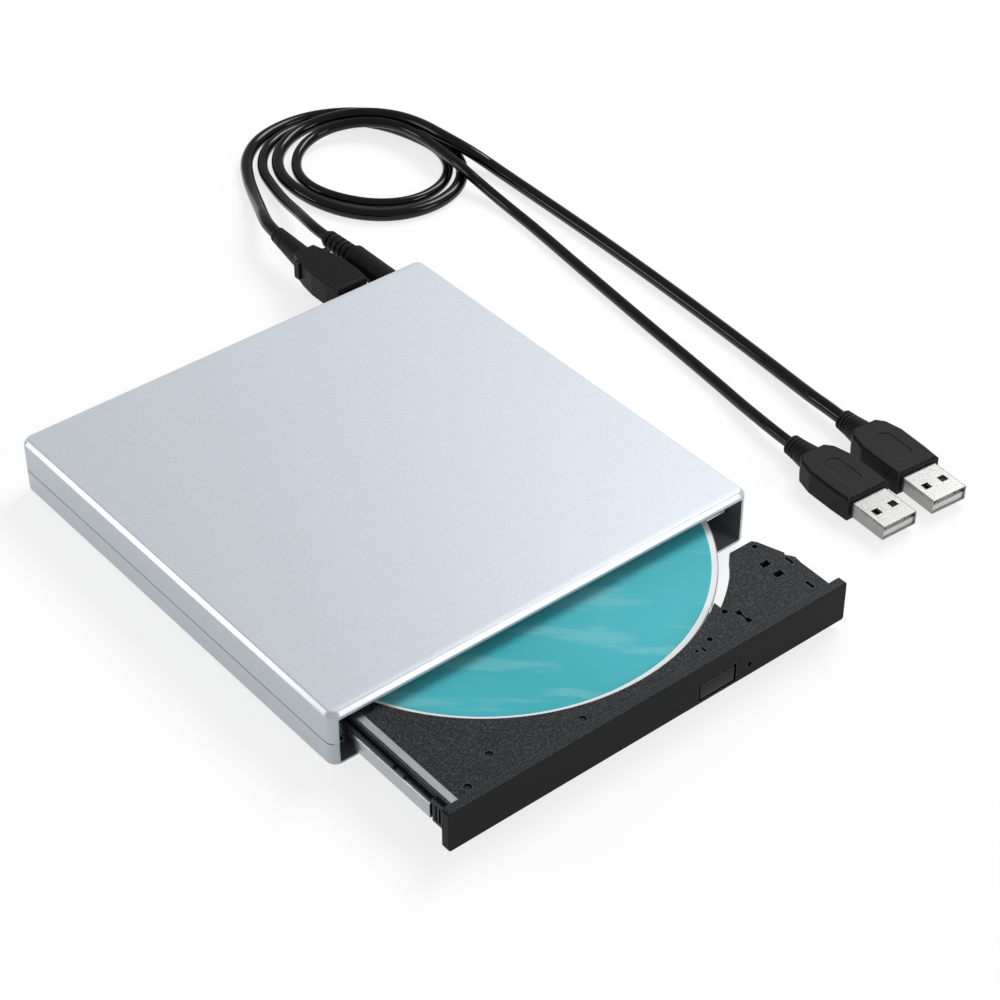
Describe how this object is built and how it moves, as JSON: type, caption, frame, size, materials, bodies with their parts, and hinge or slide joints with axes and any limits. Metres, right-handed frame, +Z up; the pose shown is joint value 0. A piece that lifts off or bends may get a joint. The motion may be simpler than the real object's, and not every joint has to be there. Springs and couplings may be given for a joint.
{
  "type": "external disc drive",
  "caption": "Slim external optical disc drive with its tray part open on telescopic rails, a disc on the spindle, and free data and power leads.",
  "frame": {"origin": "on the standing surface, under the middle of the drive with its tray part open", "axes": "+Z up, the tray opens towards -Y, +X to the right seen from the front"},
  "size_m": [0.2015, 0.2891, 0.0178],
  "materials": {
    "silver_paint": "moulded plastic with fine silver paint",
    "foot_rubber": "matt black rubber",
    "screw_steel": "zinc-plated steel",
    "sheet_steel": "pressed bright steel sheet",
    "board_green": "solder mask on glass-fibre board",
    "connector_black": "moulded nylon",
    "insert_white": "moulded white nylon",
    "plated_steel": "nickel-plated folded steel",
    "guide_nylon": "black acetal",
    "grained_black": "black plastic with a moulded leather grain",
    "bezel_black": "smooth matt black plastic",
    "lamp_clear": "clear acrylic light bar",
    "cover_black": "black painted sheet",
    "ground_steel": "ground steel",
    "motor_metal": "drawn steel can",
    "turntable_black": "black glass-filled plastic",
    "disc_print": "printed polycarbonate",
    "pickup_alloy": "die-cast alloy",
    "lens_glass": "coated glass",
    "film_amber": "polyimide film",
    "plug_black": "moulded soft vinyl, fine texture",
    "cable_black": "glossy black vinyl jacket"
  },
  "bodies": {
    "root": {"top_cover": "silver_paint", "bottom_cover": "silver_paint", "rubber_feet": "foot_rubber", "cover_screws": "screw_steel", "drive_mount_screws": "screw_steel", "drive_case": "sheet_steel", "drive_top_plate": "sheet_steel", "case_screws": "screw_steel", "main_board": "board_green", "drive_connector": "connector_black", "board_socket": "connector_black", "bridge_board": "board_green", "data_port": "plated_steel", "power_jack": "connector_black", "left_guide": "guide_nylon", "right_guide": "guide_nylon", "latch_pin": "screw_steel", "ribbon_cable": "film_amber", "data_plug": "plug_black", "data_plug_nose": "plated_steel", "power_plug": "plug_black", "power_plug_barrel": "plated_steel", "data_usb_body": "plug_black", "data_usb_shell": "plated_steel", "data_usb_insert": "insert_white", "power_usb_body": "plug_black", "power_usb_shell": "plated_steel", "power_usb_insert": "insert_white", "data_cable": "cable_black", "power_cable": "cable_black"},
    "left_rail": {"left_rail": "sheet_steel", "left_rail_slide": "guide_nylon"},
    "right_rail": {"right_rail": "sheet_steel", "right_rail_slide": "guide_nylon"},
    "tray": {"tray": "grained_black", "tray_strip": "sheet_steel", "front_bezel": "bezel_black", "led_window": "lamp_clear", "underplate": "sheet_steel", "tray_screws": "screw_steel", "mechanism_chassis": "sheet_steel", "guide_rods": "ground_steel", "rubber_dampers": "foot_rubber", "sled_motor": "motor_metal", "spindle_motor": "motor_metal", "mechanism_cover": "cover_black", "tray_board": "board_green", "eject_solenoid": "motor_metal"},
    "eject_button": {"eject_button": "bezel_black"},
    "spindle": {"turntable": "turntable_black", "hub_jaws": "turntable_black", "disc": "disc_print"},
    "pickup": {"pickup_sled": "pickup_alloy"},
    "lens": {"objective_lens": "lens_glass"},
    "lead_screw": {"lead_screw": "ground_steel"},
    "latch_lever": {"latch_lever": "guide_nylon"}
  },
  "joints": [
    {"name": "left_rail_slide", "type": "slide", "parent": "root", "child": "left_rail", "axis": [0, -1, 0], "range_m": [-0.0398, 0.02]},
    {"name": "tray_slide", "type": "slide", "parent": "left_rail", "child": "tray", "axis": [0, -1, 0], "range_m": [0, 0.0682]},
    {"name": "right_rail_slide", "type": "slide", "parent": "root", "child": "right_rail", "axis": [0, -1, 0], "range_m": [-0.0398, 0.02]},
    {"name": "eject_press", "type": "slide", "parent": "tray", "child": "eject_button", "axis": [0, 1, 0], "range_m": [0, 0.0006], "stiffness_N_per_m": 1500},
    {"name": "spindle_spin", "type": "hinge", "parent": "tray", "child": "spindle", "pos_m": [0.001, -0.0223, 0.0107], "axis": [0, 0, 1], "continuous": true},
    {"name": "pickup_slide", "type": "slide", "parent": "tray", "child": "pickup", "axis": [0, -1, 0], "range_m": [0, 0.033]},
    {"name": "lead_screw_spin", "type": "hinge", "parent": "tray", "child": "lead_screw", "pos_m": [-0.03, -0.0601, 0.0074], "axis": [0, 1, 0], "range_deg": [-10, 3970]},
    {"name": "lens_focus", "type": "slide", "parent": "pickup", "child": "lens", "axis": [0, 0, 1], "range_m": [-0.0004, 0.0004], "stiffness_N_per_m": 40},
    {"name": "latch_swing", "type": "hinge", "parent": "tray", "child": "latch_lever", "pos_m": [0.03, -0.0701, 0.006], "axis": [0, 0, 1], "range_deg": [0, 14], "stiffness_Nm_per_rad": 0.002}
  ],
  "couplings": [
    {"joint": "right_rail_slide", "follows": "left_rail_slide", "ratio": 1},
    {"joint": "lead_screw_spin", "follows": "pickup_slide", "rad_per_m": 2094.4}
  ]
}
